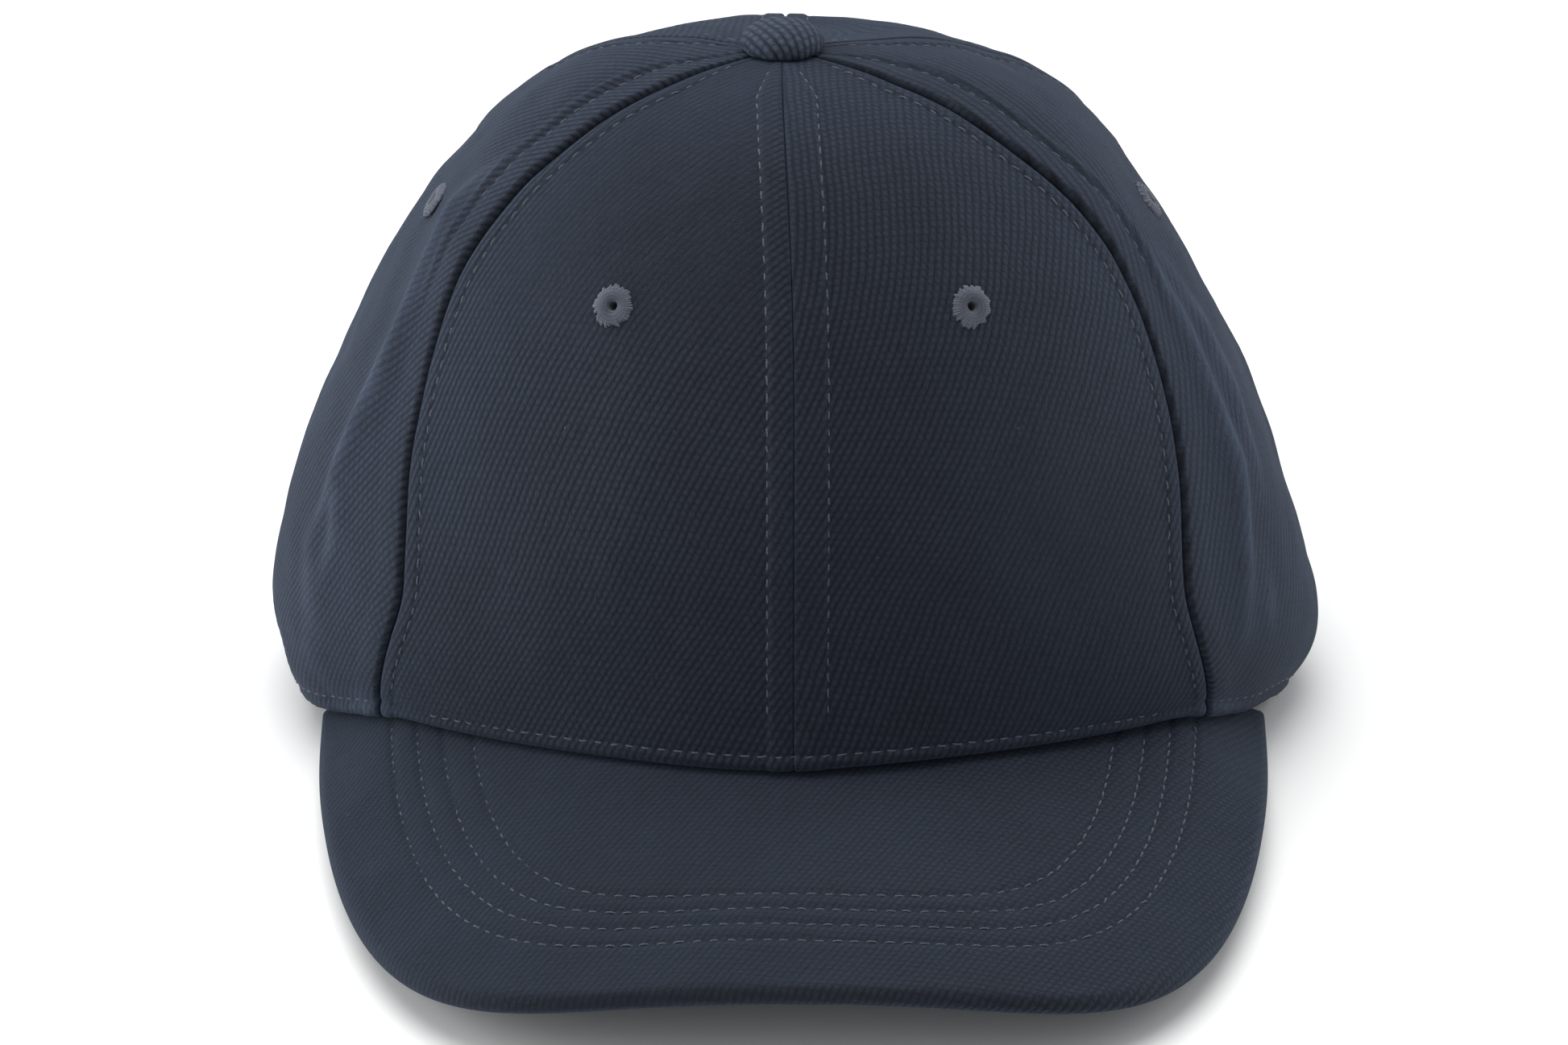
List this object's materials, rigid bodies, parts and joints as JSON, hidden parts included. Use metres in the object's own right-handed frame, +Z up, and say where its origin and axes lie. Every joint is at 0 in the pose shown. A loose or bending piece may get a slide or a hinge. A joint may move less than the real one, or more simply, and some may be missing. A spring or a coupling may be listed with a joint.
{
  "type": "baseball cap",
  "caption": "Structured panelled cap with a curved bill, covered top button and adjustable clamp-buckle strap at the back.",
  "frame": {"origin": "Middle of the cap's bounding box in plan, on the plane of the rear of the rim.", "axes": "+Z up through the top button, -Y towards the front edge of the bill, +X to the wearer's left."},
  "size_m": [0.2026, 0.2466, 0.1417],
  "materials": {
    "twill": "napped cotton twill, navy",
    "twill_bill": "cotton twill, navy",
    "thread": "satin-stitched thread",
    "lining": "plain woven tape",
    "buckram": "stiffened open weave",
    "board": "moulded sheet",
    "metal": "antiqued, satin",
    "label": "woven satin"
  },
  "bodies": {
    "cap": {"bill_board": "board", "bill_bottom_cover": "twill_bill", "bill_top_cover": "twill_bill", "buckle_frame": "metal", "buckle_pin": "metal", "buckle_strap": "twill", "buckram_left": "buckram", "buckram_right": "buckram", "button_back": "metal", "button_cover": "twill", "button_shell": "metal", "eyelet_front_left": "thread", "eyelet_front_right": "thread", "eyelet_rear_left": "thread", "eyelet_rear_right": "thread", "eyelet_side_left": "thread", "eyelet_side_right": "thread", "front_panel_left": "twill", "front_panel_right": "twill", "rear_arch_binding": "twill", "rear_panel_left": "twill", "rear_panel_right": "twill", "seam_tape_front": "lining", "seam_tape_front_left": "lining", "seam_tape_front_right": "lining", "seam_tape_rear": "lining", "seam_tape_rear_left": "lining", "seam_tape_rear_right": "lining", "side_panel_left": "twill", "side_panel_right": "twill", "size_label": "label", "sweatband": "lining", "sweatband_backing": "buckram"},
    "strap": {"adjusting_strap": "twill", "strap_tip": "metal"},
    "lever": {"buckle_lever": "metal"}
  },
  "joints": [
    {"name": "strap_adjust", "type": "hinge", "parent": "cap", "child": "strap", "pos_m": [0, 0.03548, 0.014], "axis": [0, 0, -1], "range_deg": [-6, 11]},
    {"name": "lever_open", "type": "hinge", "parent": "cap", "child": "lever", "pos_m": [0.0052, 0.12178, 0.014], "axis": [0, 0, -1], "range_deg": [0, 100]}
  ]
}
